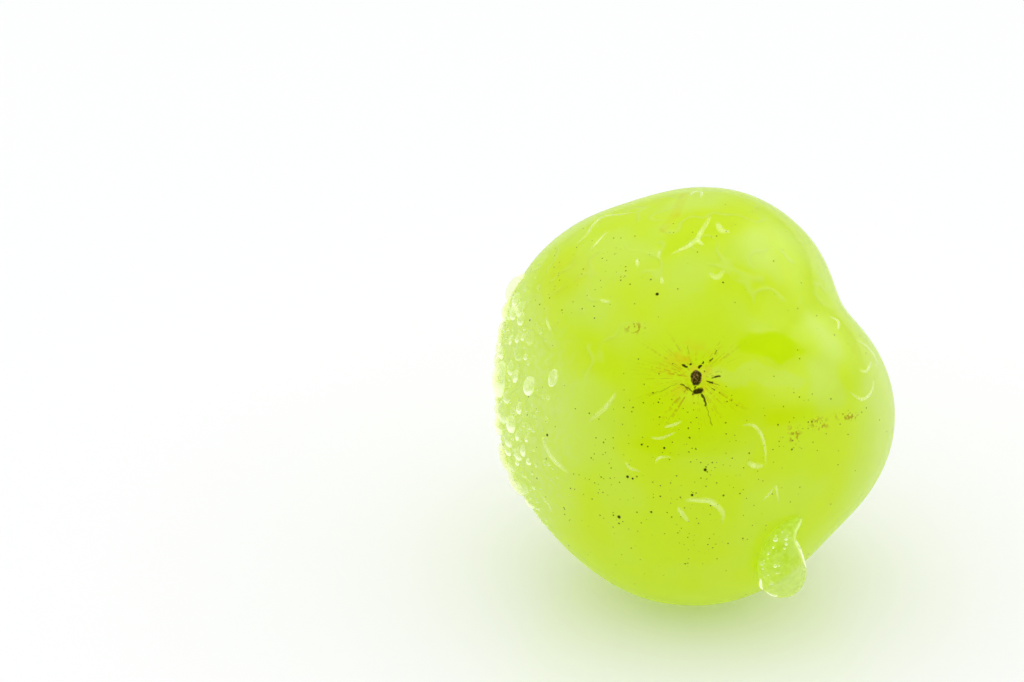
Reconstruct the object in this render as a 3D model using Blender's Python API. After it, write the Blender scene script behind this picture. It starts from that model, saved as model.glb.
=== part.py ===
"""A ripe green table grape: lobed, wet, and resting on a small flat spot with its blossom scar facing -Y.

Metres, +Z up. The origin is the middle of the flat spot on which the grape rests.
A place on the skin is given by two angles about the grape's long axis:
polar, from the blossom scar (0) to the stem end (180 degrees), and
turn, anticlockwise round the axis as seen from the scar, from the grape's right side.
"""

import math
import random
from collections import namedtuple

import bmesh
import bpy
from mathutils import Euler, Matrix, Vector

MM = 0.001
TINY = 0.000001

# The berry: half its length, and how it lies.
BERRY_HALF_LENGTH = 15.3 * MM
BERRY_CENTRE = Vector((0.0, 0.75 * MM, 15.48 * MM))
BERRY_TIP = math.radians(56.8)
BERRY_SWING = math.radians(-1.8)

# The lobes round its widest section: the turn of each, how far its centre is from the axis, and its radius.
Lobe = namedtuple("Lobe", "turn reach radius")
LOBES = (
    Lobe(math.radians(82), 6.2 * MM, 11.3 * MM),
    Lobe(math.radians(137), 5.5 * MM, 12.0 * MM),
    Lobe(math.radians(202), 4.3 * MM, 12.1 * MM),
    Lobe(math.radians(271), 4.2 * MM, 13.3 * MM),
    Lobe(math.radians(346), 6.3 * MM, 10.7 * MM),
)
CREASE_SHARPNESS = 22
LOBE_FADE = 1.6

# The marks at the two ends.
BLOSSOM_DIMPLE_RADIUS = 1.6 * MM
BLOSSOM_DIMPLE_DEPTH = 0.25 * MM
BLOSSOM_NUB_RADIUS = 0.55 * MM
BLOSSOM_NUB_HEIGHT = 0.30 * MM
STEM_DIMPLE_RADIUS = 3.2 * MM
STEM_DIMPLE_DEPTH = 0.9 * MM
STEM_RING_RADIUS = 1.5 * MM
STEM_RING_WIDTH = 0.5 * MM
STEM_RING_HEIGHT = 0.35 * MM

# How finely the berry is divided, with rings closer together near its ends.
BERRY_SIDES = 72
BERRY_RINGS = 50
RING_CROWDING = 0.35

# Points this near the surface that the berry rests on are moved onto it before the flat spot is cut.
FLAT_SPOT_SNAP = 0.02 * MM

# Edges that bend more than this are shaded sharp.
SHARP_BEND = math.radians(50)

# Water stands this far off the skin, so that the solids don't touch.
WATER_GAP = 0.3 * MM

# The drop that hangs in the groove: skin places down its middle line from tail to bulb,
# how far the line stands out there, and the drop's half-width.
DropStation = namedtuple("DropStation", "polar turn stand_out half_width")
DROP_STATIONS = (
    DropStation(math.radians(56.1), math.radians(309.5), 0.10 * MM, 0.30 * MM),
    DropStation(math.radians(55.3), math.radians(303.8), 0.35 * MM, 0.70 * MM),
    DropStation(math.radians(57.0), math.radians(299.7), 0.60 * MM, 1.25 * MM),
    DropStation(math.radians(61.5), math.radians(297.3), 0.80 * MM, 1.65 * MM),
    DropStation(math.radians(67.5), math.radians(296.1), 0.95 * MM, 1.90 * MM),
)
DROP_END_LENGTH = 2.1 * MM
DROP_TIP_SHARE = 0.15
DROP_SLOPE_STEP = 0.05
DROP_SIDES = 28
DROP_RINGS = 28

# The film of water on the left flank and the beads that stand on it.
FILM_POLAR = math.radians(82)
FILM_TURN = math.radians(182)
FILM_HALF_POLAR = math.radians(31)
FILM_HALF_TURN = math.radians(35)
FILM_THICKNESS = 0.16 * MM
FILM_EDGE_THICKNESS = 0.04 * MM
FILM_EDGE_STEEPNESS = 6
FILM_EDGE_WAVE = 0.05
FILM_EDGE_WAVES = 9
FILM_SUBDIVISIONS = 5
BEAD_COUNT = 90
BEAD_TRIES = 20000
BEAD_RADIUS_LEAST = 0.50 * MM
BEAD_RADIUS_MOST = 1.15 * MM
BEAD_HEIGHT_SHARE = 0.62
BEAD_SPACING = 0.88
BEAD_INSIDE_EDGE = 0.92
BEAD_EDGE_STEEPNESS = 4
BEAD_SEED = 7


def section_radius(turn):
    """Radius of the widest section at a turn: the outer edge of the lobes, creased where they meet."""
    total = 0.0
    for lobe in LOBES:
        along = lobe.reach * math.cos(turn - lobe.turn)
        edge = along + math.sqrt(along ** 2 + lobe.radius ** 2 - lobe.reach ** 2)
        total += (edge / MM) ** CREASE_SHARPNESS
    return MM * (total / len(LOBES)) ** (1 / CREASE_SHARPNESS)


def mean_section_radius(samples=360):
    """The widest section's radius, averaged all round."""
    return sum(section_radius(math.tau * step / samples) for step in range(samples)) / samples


SECTION_MEAN = mean_section_radius()


def bump(distance, width):
    """A smooth bump: 1 at no distance, and almost 0 past twice the width."""
    return math.exp(-(distance / width) ** 2)


def end_relief(polar):
    """Height of the marks at the blossom end and the stem end."""
    from_blossom = polar * BERRY_HALF_LENGTH
    from_stem = (math.pi - polar) * BERRY_HALF_LENGTH
    height = -BLOSSOM_DIMPLE_DEPTH * bump(from_blossom, BLOSSOM_DIMPLE_RADIUS)
    height += BLOSSOM_NUB_HEIGHT * bump(from_blossom, BLOSSOM_NUB_RADIUS)
    height -= STEM_DIMPLE_DEPTH * bump(from_stem, STEM_DIMPLE_RADIUS)
    height += STEM_RING_HEIGHT * bump(from_stem - STEM_RING_RADIUS, STEM_RING_WIDTH)
    return height


def skin_radius(polar, turn):
    """Distance from the berry's centre to its skin."""
    spheroid = 1 / math.hypot(math.cos(polar) / BERRY_HALF_LENGTH, math.sin(polar) / SECTION_MEAN)
    lobing = section_radius(turn) / SECTION_MEAN - 1
    return spheroid * (1 + lobing * math.sin(polar) ** LOBE_FADE) + end_relief(polar)


def skin_point(polar, turn, stand_out=0.0):
    """A point on the skin, or off it by stand_out, in the berry's own frame with the scar at +Z."""
    across = math.sin(polar)
    direction = Vector((across * math.cos(turn), across * math.sin(turn), math.cos(polar)))
    return direction * (skin_radius(polar, turn) + stand_out)


def angles_of(direction):
    """Polar angle and turn of a unit vector."""
    polar = math.acos(max(-1.0, min(1.0, direction.z)))
    return polar, math.atan2(direction.y, direction.x)


def sphere_of_rings(sides, rings):
    """A unit sphere in a new bmesh, its poles at +Z and -Z."""
    mesh = bmesh.new()
    bmesh.ops.create_uvsphere(mesh, u_segments=sides, v_segments=rings, radius=1.0)
    return mesh


def skin_mesh(stand_out):
    """The whole skin, or a copy that stands off it, shaped from a sphere."""
    mesh = sphere_of_rings(BERRY_SIDES, BERRY_RINGS)
    for vert in mesh.verts:
        polar, turn = angles_of(vert.co)
        crowded = polar - RING_CROWDING * math.sin(2 * polar) / 2
        vert.co = skin_point(crowded, turn, stand_out)
    return mesh


def cut_resting_spot(mesh, berry_frame):
    """Cuts the underside flat where the berry rests on the surface, and caps it with one face."""
    into_berry = berry_frame.inverted()
    floor_point = into_berry @ Vector((0, 0, 0))
    down = into_berry.to_3x3() @ Vector((0, 0, -1))
    for vert in mesh.verts:
        below = (vert.co - floor_point).dot(down)
        if abs(below) < FLAT_SPOT_SNAP:
            vert.co -= down * below
    bmesh.ops.bisect_plane(
        mesh,
        geom=mesh.verts[:] + mesh.edges[:] + mesh.faces[:],
        dist=TINY,
        plane_co=floor_point,
        plane_no=down,
        clear_outer=True,
    )
    rim = [edge for edge in mesh.edges if edge.is_boundary]
    bmesh.ops.holes_fill(mesh, edges=rim, sides=0)
    bmesh.ops.recalc_face_normals(mesh, faces=mesh.faces[:])


def add_object(name, mesh, material, collection, axis):
    """Makes a named, smooth-shaded object from a bmesh and hangs it on the berry's axis."""
    data = bpy.data.meshes.new(name)
    mesh.to_mesh(data)
    mesh.free()
    data.shade_smooth()
    data.set_sharp_from_angle(angle=SHARP_BEND)
    data.materials.append(material)
    piece = bpy.data.objects.new(name, data)
    piece.parent = axis
    collection.objects.link(piece)
    return piece


def make_material(name, colour, roughness, transmission):
    """A Principled BSDF material with one colour."""
    material = bpy.data.materials.new(name)
    material.use_nodes = True
    shader = material.node_tree.nodes["Principled BSDF"]
    shader.inputs["Base Color"].default_value = (*colour, 1.0)
    shader.inputs["Roughness"].default_value = roughness
    shader.inputs["Metallic"].default_value = 0.0
    shader.inputs["Transmission Weight"].default_value = transmission
    return material


def berry_skin_material():
    """Yellow-green wet skin."""
    return make_material("berry_skin", (0.60, 0.81, 0.03), 0.2, 0.0)


def water_material():
    """Clear water, faintly green from the skin under it."""
    return make_material("water", (0.80, 0.92, 0.55), 0.03, 0.8)


def make_axis(collection):
    """The empty at the berry's centre whose +Z runs to the blossom scar."""
    axis = bpy.data.objects.new("berry_axis", None)
    axis.location = BERRY_CENTRE
    axis.rotation_euler = Euler((BERRY_TIP, 0, BERRY_SWING))
    collection.objects.link(axis)
    return axis


def make_berry(collection, axis, material):
    """The berry with its flat resting spot."""
    berry_frame = Matrix.LocRotScale(axis.location, axis.rotation_euler, None)
    mesh = skin_mesh(0.0)
    cut_resting_spot(mesh, berry_frame)
    return add_object("berry", mesh, material, collection, axis)


def make_skin_cutter(collection, axis, material):
    """The shape of the skin, larger by the gap, that hollows the back of the hanging drop."""
    cutter = add_object("skin_cutter", skin_mesh(WATER_GAP), material, collection, axis)
    cutter.hide_render = True
    cutter.display_type = "WIRE"
    return cutter


def catmull_rom(before, start, end, after, part):
    """A smooth step from start to end that heads the way its neighbours lie."""
    bend = 2 * before - 5 * start + 4 * end - after
    twist = 3 * (start - end) + after - before
    return (2 * start + (end - before) * part + bend * part ** 2 + twist * part ** 3) / 2


def drop_line(share):
    """Point and half-width on the hanging drop's middle line, from its tail (0) to its bulb (1)."""
    last = len(DROP_STATIONS) - 1
    index = min(int(share * last), last - 1)
    near = [DROP_STATIONS[max(0, min(last, index + step))] for step in (-1, 0, 1, 2)]
    points = [skin_point(station.polar, station.turn, station.stand_out) for station in near]
    widths = [station.half_width for station in near]
    part = share * last - index
    return catmull_rom(*points, part), catmull_rom(*widths, part)


def drop_surface(polar, turn):
    """Place on the hanging drop of a point of a sphere, whose lower half is the drop's round end."""
    share = min(1.0, 1 - math.cos(polar))
    centre, half_width = drop_line(share)
    ahead = drop_line(min(1.0, share + DROP_SLOPE_STEP))[0]
    behind = drop_line(max(0.0, share - DROP_SLOPE_STEP))[0]
    down = (ahead - behind).normalized()
    outward = (centre - down * centre.dot(down)).normalized()
    sideways = outward.cross(down)
    if share < 1:
        ring = math.sqrt(1 - max(0.0, 1 - share / DROP_TIP_SHARE) ** 2)
    else:
        ring = math.sin(polar)
    end = down * DROP_END_LENGTH * max(0.0, -math.cos(polar))
    return centre + (outward * math.cos(turn) + sideways * math.sin(turn)) * half_width * ring + end


def make_hanging_drop(collection, axis, material, cutter):
    """The large drop in the lower right groove, swept down its middle line, with its back cut to the skin."""
    mesh = sphere_of_rings(DROP_SIDES, DROP_RINGS)
    for vert in mesh.verts:
        vert.co = drop_surface(*angles_of(vert.co))
    drop = add_object("hanging_drop", mesh, material, collection, axis)
    cut = drop.modifiers.new("back_cut_to_skin", "BOOLEAN")
    cut.operation = "DIFFERENCE"
    cut.solver = "EXACT"
    cut.object = cutter
    return drop


def film_place(across, along):
    """Polar angle and turn of a place in the film, whose edge is a wavy oval at radius 1."""
    angle = math.atan2(along, across)
    wave = 1 + FILM_EDGE_WAVE * math.sin(FILM_EDGE_WAVES * angle)
    return FILM_POLAR + across * wave * FILM_HALF_POLAR, FILM_TURN + along * wave * FILM_HALF_TURN


def scatter_beads():
    """Seeded bead centres and radii inside the film's edge, none much closer than they are wide."""
    chance = random.Random(BEAD_SEED)
    beads = []
    for _ in range(BEAD_TRIES):
        if len(beads) == BEAD_COUNT:
            break
        share = math.sqrt(chance.random()) * BEAD_INSIDE_EDGE
        angle = chance.random() * math.tau
        radius = BEAD_RADIUS_LEAST + (BEAD_RADIUS_MOST - BEAD_RADIUS_LEAST) * chance.random() ** 2
        centre = skin_point(*film_place(share * math.cos(angle), share * math.sin(angle)))
        if all((centre - other).length > BEAD_SPACING * (radius + size) for other, size in beads):
            beads.append((centre, radius))
    return beads


def bead_height(point, beads):
    """Height of the tallest bead over a point of the skin."""
    height = 0.0
    for centre, radius in beads:
        distance = (point - centre).length / radius
        if distance < 1:
            height = max(height, radius * BEAD_HEIGHT_SHARE * math.sqrt(1 - distance ** 2))
    return height


def make_water_beads(collection, axis, material):
    """The film on the left flank with its beads: a sphere pressed flat into a lens on the skin."""
    beads = scatter_beads()
    mesh = bmesh.new()
    bmesh.ops.create_icosphere(mesh, subdivisions=FILM_SUBDIVISIONS, radius=1.0)
    for vert in mesh.verts:
        outer = vert.co.z > 0
        spread = math.sqrt(1 - abs(vert.co.z))
        angle = math.atan2(vert.co.y, vert.co.x)
        polar, turn = film_place(spread * math.cos(angle), spread * math.sin(angle))
        stand_out = WATER_GAP
        if outer:
            body = 1 - spread ** FILM_EDGE_STEEPNESS
            stand_out += FILM_EDGE_THICKNESS + FILM_THICKNESS * body
            stand_out += bead_height(skin_point(polar, turn), beads) * min(1.0, BEAD_EDGE_STEEPNESS * body)
        vert.co = skin_point(polar, turn, stand_out)
    return add_object("water_beads", mesh, material, collection, axis)


def clear_scene():
    """Removes whatever the open scene holds."""
    for item in list(bpy.data.objects):
        bpy.data.objects.remove(item, do_unlink=True)


def add_collection(name):
    """Adds a collection to the scene."""
    collection = bpy.data.collections.new(name)
    bpy.context.scene.collection.children.link(collection)
    return collection


def main():
    """Builds the wet grape."""
    clear_scene()
    grape = add_collection("grape")
    cutters = add_collection("cutters")
    axis = make_axis(grape)
    water = water_material()
    make_berry(grape, axis, berry_skin_material())
    cutter = make_skin_cutter(cutters, axis, water)
    make_hanging_drop(grape, axis, water, cutter)
    make_water_beads(grape, axis, water)


main()
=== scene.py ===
"""Looks of a wet green grape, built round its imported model.

Laid out as a Blender add-on and run as a script. Metres, +Z up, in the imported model's own frame.
A place on the skin is given by two angles about the grape's long axis: polar, from the blossom scar (0)
to the stem end (180 degrees), and turn, anticlockwise round the axis as seen from the scar, from the
grape's right side.
"""

import math
import random
from collections import namedtuple

import bmesh
import bpy
from bpy.props import FloatProperty, FloatVectorProperty, IntProperty, PointerProperty
from mathutils import Euler, Matrix, Vector, noise


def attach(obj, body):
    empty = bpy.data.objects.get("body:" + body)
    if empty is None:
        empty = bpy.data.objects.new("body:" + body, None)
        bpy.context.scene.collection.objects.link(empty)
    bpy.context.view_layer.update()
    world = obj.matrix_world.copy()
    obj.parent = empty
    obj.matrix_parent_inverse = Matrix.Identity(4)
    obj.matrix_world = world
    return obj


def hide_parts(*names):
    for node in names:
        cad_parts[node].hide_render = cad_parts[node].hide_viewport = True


bl_info = {
    "name": "Wet Green Grape",
    "version": (1, 0, 0),
    "blender": (4, 5, 0),
    "location": "View3D > Sidebar > Grape",
    "description": "Dresses a green grape in wet, see-through skin, water beads and a soft studio",
    "category": "Add Mesh",
}

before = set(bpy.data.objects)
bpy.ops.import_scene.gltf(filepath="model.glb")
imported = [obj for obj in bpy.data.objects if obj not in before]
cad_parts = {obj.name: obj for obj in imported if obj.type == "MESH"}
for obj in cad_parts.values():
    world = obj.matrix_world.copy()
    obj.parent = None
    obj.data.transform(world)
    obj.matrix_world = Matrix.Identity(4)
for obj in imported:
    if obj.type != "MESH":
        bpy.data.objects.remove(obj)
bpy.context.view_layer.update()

MM = 0.001
TINY = 0.000001

# The berry: half its length, and how it lies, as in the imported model.
BERRY_HALF_LENGTH = 15.3 * MM
BERRY_CENTRE = Vector((0.0, 0.75 * MM, 15.48 * MM))
BERRY_LEAN = Euler((math.radians(56.8), 0.0, math.radians(-1.8)))
BERRY_FRAME = Matrix.LocRotScale(BERRY_CENTRE, BERRY_LEAN, None)
INTO_BERRY = BERRY_FRAME.inverted()

# The lobes round its widest section: turn in degrees, reach from the axis and radius in millimetres.
Lobe = namedtuple("Lobe", "turn reach radius")
LOBES = (
    Lobe(82, 6.2, 11.3),
    Lobe(137, 5.5, 12.0),
    Lobe(202, 4.3, 12.1),
    Lobe(271, 4.2, 13.3),
    Lobe(346, 6.3, 10.7),
)
CREASE_SHARPNESS = 22
LOBE_FADE = 1.6

# Rings at the two ends: how far round the end each lies, its width and its height in millimetres.
Ring = namedtuple("Ring", "reach width height")
BLOSSOM_RINGS = (Ring(0, 1.6, -0.25), Ring(0, 0.55, 0.30))
STEM_RINGS = (Ring(0, 3.2, -0.9), Ring(1.5, 0.5, 0.35))

# How finely the skin is divided, with rings closer together near its ends.
SKIN_SIDES = 80
SKIN_RINGS = 75
SKIN_CUTS = 3
RING_CROWDING = 0.75
FLAT_SPOT_SNAP = 0.004 * MM

# Waves and crust of the skin: how many fit across a radius, and how high each stands.
WAVE_COUNT = 3.1
WAVE_HEIGHT = 0.05 * MM
RIPPLE_COUNT = 9.0
RIPPLE_HEIGHT = 0.010 * MM
CRUST_COUNT = 90.0
CRUST_HEIGHT = 0.07 * MM
CRUST_RADIUS = 0.75 * MM
STEM_CRUST_COUNT = 40.0
STEM_CRUST_HEIGHT = 0.10 * MM
STEM_CRUST_RADIUS = 1.7 * MM

# The drop that hangs in the groove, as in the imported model: skin places in degrees down its middle line, from
# tail to bulb, and how far the line stands out there and the drop's half-width in millimetres.
DropStation = namedtuple("DropStation", "polar turn stand_out half_width")
DROP_STATIONS = (
    DropStation(56.1, 309.5, 0.10, 0.30),
    DropStation(55.3, 303.8, 0.35, 0.70),
    DropStation(57.0, 299.7, 0.60, 1.25),
    DropStation(61.5, 297.3, 0.80, 1.65),
    DropStation(67.5, 296.1, 0.95, 1.90),
)
DROP_END_LENGTH = 2.1 * MM
DROP_TIP_SHARE = 0.15
DROP_SIDES = 72
DROP_RINGS = 96

# How deep water reaches into the skin, and the step along a line over which its slope is taken.
WATER_SINK = 0.12 * MM
SLOPE_STEP = 0.05

# Foam on the drop: small bubbles between two polar angles and two turns of the drop, in degrees.
FOAM_SEED = 5
FOAM_COUNT = 22
FOAM_SPACING = 0.8
FOAM_LEAST = 0.06 * MM
FOAM_MOST = 0.20 * MM
FOAM_POLARS = (48, 84)
FOAM_TURNS = (-88, -25)
FOAM_FINENESS = 2
# How much painted white light each bubble carries.
FOAM_WHITENESSES = (0.6, 1.8)

# Cords of water on the drop, painted bright as highlights, in its own polar angles and turns: the painted
# highlight line down its right edge and two painted glints at its foot.
DROP_CORDS = (
    tuple((polar, 72) for polar in (6, 20, 34, 48, 62, 76, 88)),
    ((84, -80), (94, -80), (108, -78)),
    ((103, -62), (106, -48), (103, -34)),
)
CORD_RADIUS = 0.13 * MM
CORD_SIDES = 10
CORD_RINGS = 24
CORD_WHITENESS = 3.0

# The bead field on the left flank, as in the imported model.
FIELD_POLAR = math.radians(82)
FIELD_TURN = math.radians(182)
FIELD_HALF_POLAR = math.radians(31)
FIELD_HALF_TURN = math.radians(35)
FIELD_WAVE = 0.05
FIELD_WAVES = 9
FIELD_INSIDE_EDGE = 0.92
BEAD_TRIES = 20000
BEAD_SPACING = 0.88
BEAD_SEED = 7
BEAD_HEIGHT_SHARE = 0.62
BEAD_LENGTH_SHARE = 1.1
# How much painted white light the scattered beads carry, in turn.
BEAD_WHITENESSES = (0.35, 0.60, 0.85, 1.10)
BEAD_FINENESS = 3
SHOWN_BEAD_FINENESS = 4

# The spray of fine beads, which thins out past the field's edge; reach is over the field's own radius.
SPRAY_SEED = 21
SPRAY_REACH = 1.25
SPRAY_FLOOR = 0.05
SPRAY_LEAST = 0.10 * MM
SPRAY_MOST = 0.26 * MM
SPRAY_HEIGHT_SHARE = 0.75
SPRAY_LENGTH_SHARE = 1.15
# How much painted white light the fine beads carry.
SPRAY_WHITENESS = 0.5
SPRAY_FINENESS = 2

# Beads that show one by one: place in degrees, in millimetres the half-width across, the half-length down the
# skin and the height, and how much painted white light each carries.
Bead = namedtuple("Bead", "polar turn half_width half_length height whiteness", defaults=(1.6,))
SHOWN_BEADS = (
    Bead(80.5, 147.0, 0.36, 0.38, 0.34, 3.5),
    Bead(80.0, 158.6, 0.42, 0.40, 0.36, 2.0),
    Bead(77.4, 169.3, 0.50, 0.48, 0.42, 2.0),
    Bead(76.5, 177.2, 1.05, 1.50, 0.80),
    Bead(55.4, 180.8, 0.62, 0.80, 0.42),
    Bead(63.5, 177.0, 0.30, 0.58, 0.26),
    Bead(61.6, 187.6, 0.32, 0.50, 0.26),
    Bead(68.3, 191.6, 0.62, 0.74, 0.44),
    Bead(83.5, 190.0, 0.80, 0.82, 0.50, 1.8),
    Bead(65.7, 195.9, 0.22, 0.42, 0.20),
    Bead(60.6, 198.0, 0.19, 0.28, 0.16),
    Bead(64.6, 200.9, 0.27, 0.54, 0.24),
    Bead(72.1, 203.1, 0.25, 0.30, 0.20),
    Bead(63.9, 204.9, 0.26, 0.30, 0.20),
    Bead(64.3, 165.2, 0.24, 0.34, 0.20),
    Bead(60.9, 164.5, 0.20, 0.32, 0.18),
    Bead(69.1, 165.6, 0.18, 0.42, 0.18),
    Bead(58.1, 170.8, 0.22, 0.28, 0.18),
    Bead(44.7, 178.6, 0.48, 0.70, 0.14),
)

# Rims of thin water, painted pale towards their crests as highlights: half-width and height in millimetres, and
# the skin places in degrees that each passes.
RUN_SPREAD = 1.35
RUN_SIDES = 16
RUN_RINGS = 28
Run = namedtuple("Run", "half_width height places")
RUNS = (
    Run(0.17, 0.07, ((23, 190), (27.5, 198), (34, 201.5))),
    Run(0.22, 0.09, ((52.5, 200), (52.5, 204), (52, 208), (50.5, 212.5), (49.5, 215.5))),
    Run(0.16, 0.07, ((37, 262.5), (39, 265), (41.5, 268))),
    Run(0.20, 0.10, ((35, 265), (34.5, 268.5), (34.5, 273), (35, 277.5), (37.5, 281), (40, 282.5),
                               (43, 281))),
    Run(0.11, 0.06, ((18.5, 315), (20, 320.5), (22, 322), (25, 320), (28.5, 315.5), (32.5, 310))),
    Run(0.18, 0.05, ((27.5, 302.5), (30, 305), (32, 309.5))),
    Run(0.10, 0.05, ((16.5, 237), (14.5, 244.5), (12.5, 252.5))),
    Run(0.09, 0.04, ((21, 232.5), (19.5, 240), (16, 250))),
    Run(0.10, 0.04, ((31.5, 229.5), (32, 234), (31, 239.5))),
    Run(0.09, 0.04, ((26.5, 244.5), (24.5, 246), (23, 253.5))),
    Run(0.08, 0.05, ((39.5, 309), (40.5, 303.5), (41, 300))),
    Run(0.08, 0.05, ((39.5, 309), (41.5, 307.5), (45, 305.5))),
    Run(0.13, 0.09, ((61, 130.5), (62.5, 126), (66.5, 122.5), (69.5, 119), (68, 116), (65.5, 112.5),
                               (64, 108.5))),
    Run(0.10, 0.05, ((54, 128.5), (56, 124), (58.5, 120))),
    Run(0.19, 0.10, ((54, 85.5), (49.5, 87), (45.5, 89), (42.5, 90.5), (40.5, 94.5), (39.5, 98),
                               (38.5, 102))),
    Run(0.14, 0.07, ((43, 90), (40.5, 87.5))),
    Run(0.24, 0.08, ((51, 83), (47.5, 81), (48, 78))),
    Run(0.20, 0.08, ((31.5, 84), (30, 79.5), (33, 76.5))),
    Run(0.12, 0.05, ((41.5, 116), (38, 117.5))),
    Run(0.12, 0.05, ((41.5, 106), (38.5, 107.5))),
    Run(0.12, 0.06, ((32, 109), (29.5, 110))),
    Run(0.13, 0.14, ((61.5, 17), (66, 14.5), (68.5, 11.5), (68.5, 8))),
    Run(0.09, 0.06, ((54.5, 6.5), (58.5, 6), (64.5, 9.5))),
    Run(0.11, 0.07, ((48.5, 358), (54, 356), (59.5, 359), (62.5, 3.5))),
    Run(0.12, 0.06, ((55, 28), (58, 25.5), (53.5, 22.5))),
    Run(0.22, 0.10, ((78.5, 153.5), (72.5, 156), (66.5, 157))),
    Run(0.13, 0.05, ((52, 156.5), (49.5, 159), (48, 160.5))),
    Run(0.10, 0.05, ((68.5, 215.5), (68, 219), (70, 221.5))),
    Run(0.11, 0.07, ((67, 92), (71, 90.5), (69.5, 88.5), (64.5, 89))),
    Run(0.12, 0.05, ((37, 140), (35, 139.5), (33.5, 137.5))),
)

# Strokes of russet at the top and of brown cork round the scar: ends and half-width in millimetres, right of
# and above the scar, and darkness.
Stroke = namedtuple("Stroke", "start end half_width darkness", defaults=(1.0,))
RUST_STROKES = (
    Stroke((-1.1, 18.6), (-1.9, 14.7), 0.50, 0.9),
    Stroke((-1.9, 14.7), (-2.9, 12.9), 0.40, 0.8),
)
SCAR_STROKES = (
    Stroke((-0.05, -1.00), (0.33, -0.93), 0.22),
    Stroke((-0.10, -0.73), (-0.08, -0.70), 0.07, 0.9),
    Stroke((-0.24, -1.19), (-0.20, -1.16), 0.08, 0.9),
    Stroke((0.46, -1.19), (0.75, -1.99), 0.09, 0.95),
    Stroke((0.75, -1.99), (1.21, -3.53), 0.04, 0.6),
    Stroke((-1.13, -0.45), (-0.28, -1.02), 0.07, 0.8),
    Stroke((-3.54, -1.36), (-1.42, -0.45), 0.03, 0.5),
    Stroke((-0.99, 1.01), (-0.73, 0.81), 0.11),
    Stroke((-0.45, 1.04), (-0.43, 1.02), 0.09),
    Stroke((0.21, 0.81), (0.35, 0.98), 0.09),
    Stroke((0.48, 1.19), (0.50, 1.21), 0.09),
    Stroke((1.01, 1.35), (1.15, 1.46), 0.06, 0.9),
    Stroke((1.35, 1.84), (1.49, 2.04), 0.05, 0.8),
    Stroke((0.61, 0.54), (0.62, 0.55), 0.06, 0.8),
    Stroke((1.18, 0.04), (1.29, 0.07), 0.07, 0.9),
    Stroke((1.41, 0.15), (1.75, 0.18), 0.10),
    Stroke((0.81, -0.22), (1.15, -0.34), 0.08, 0.95),
    Stroke((1.15, -0.34), (1.66, -0.54), 0.03, 0.7),
    Stroke((1.15, -0.73), (1.43, -0.87), 0.04, 0.8),
    Stroke((1.72, -1.02), (1.73, -1.03), 0.06, 0.8),
    Stroke((2.24, -0.56), (2.25, -0.56), 0.05, 0.6),
    Stroke((-0.62, 2.41), (-0.56, 1.83), 0.03, 0.5),
)

# Single dark specks: skin place in degrees and radius in millimetres.
Speck = namedtuple("Speck", "polar turn radius")
SPECKS = (
    Speck(48.0, 241.1, 0.17),
    Speck(50.4, 199.7, 0.13),
    Speck(27.1, 115.0, 0.15),
    Speck(25.7, 276.5, 0.14),
    Speck(34.7, 235.4, 0.13),
    Speck(34.2, 238.0, 0.10),
    Speck(24.3, 231.0, 0.09),
    Speck(21.5, 246.0, 0.10),
    Speck(33.0, 268.9, 0.12),
    Speck(41.0, 252.0, 0.10),
)

# Soft ovals on the skin: middle and half-sizes in millimetres right of and above the scar, how soft the edge
# is, and strength.
Oval = namedtuple("Oval", "right up half_right half_up softness strength", defaults=(1.0,))
# A deeper green painted as shade in the groove between the top and right lobes.
SHADED_HOLLOW = Oval(5.7, 2.7, 2.8, 1.2, 0.2)
# Pale patches painted as reflections of the light, right and left of the scar.
REFLECTED_LEDGE = Oval(4.9, 0.2, 3.8, 0.8, 0.22, 0.65)
REFLECTED_SMEAR = Oval(-9.0, -3.6, 2.6, 1.8, 0.5, 0.5)
FROSTED_FLANK = Oval(-18.5, -3.0, 8.0, 12.0, 0.4)
# A paler band painted as sheen along the right rim.
RIM_SHEEN = Oval(19.5, -3.0, 4.8, 8.5, 0.6, 0.5)
SCAR_CORE = Oval(-0.03, 0.0, 0.42, 0.60, 0.12)
SCAR_GLOW = Oval(-0.5, 0.5, 1.9, 2.0, 0.6)
STAINED_SHOULDER = Oval(-11.0, 9.0, 2.6, 2.2, 0.8, 0.6)
DOT_CROWDS = (
    Oval(-1.4, -8.0, 8.5, 7.0, 0.6),
    Oval(8.6, -3.4, 3.6, 2.6, 0.7),
    Oval(-9.5, 8.0, 4.0, 4.0, 0.8, 0.5),
)
SMUDGES = (
    Oval(7.75, -4.1, 0.55, 0.75, 0.6),
    Oval(9.9, -3.2, 0.8, 0.5, 0.6),
    Oval(12.7, -2.5, 1.3, 0.35, 0.6),
    Oval(-4.6, 3.8, 0.8, 0.4, 0.6),
)

# Colours of the skin's patches and marks, and of the reflections, rim sheen, film highlights and hollow shade
# painted on it.
# Pale reflection painted over much of the skin.
REFLECTION_VEIL_COLOUR = (0.72, 0.90, 0.20)
# Deeper green of the hollow, painted as shade.
HOLLOW_SHADE_COLOUR = (0.60, 0.87, 0.003)
FROST_COLOUR = (0.88, 0.96, 0.60)
# Pale sheen painted along the right rim.
RIM_SHEEN_COLOUR = (0.86, 0.93, 0.55)
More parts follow.
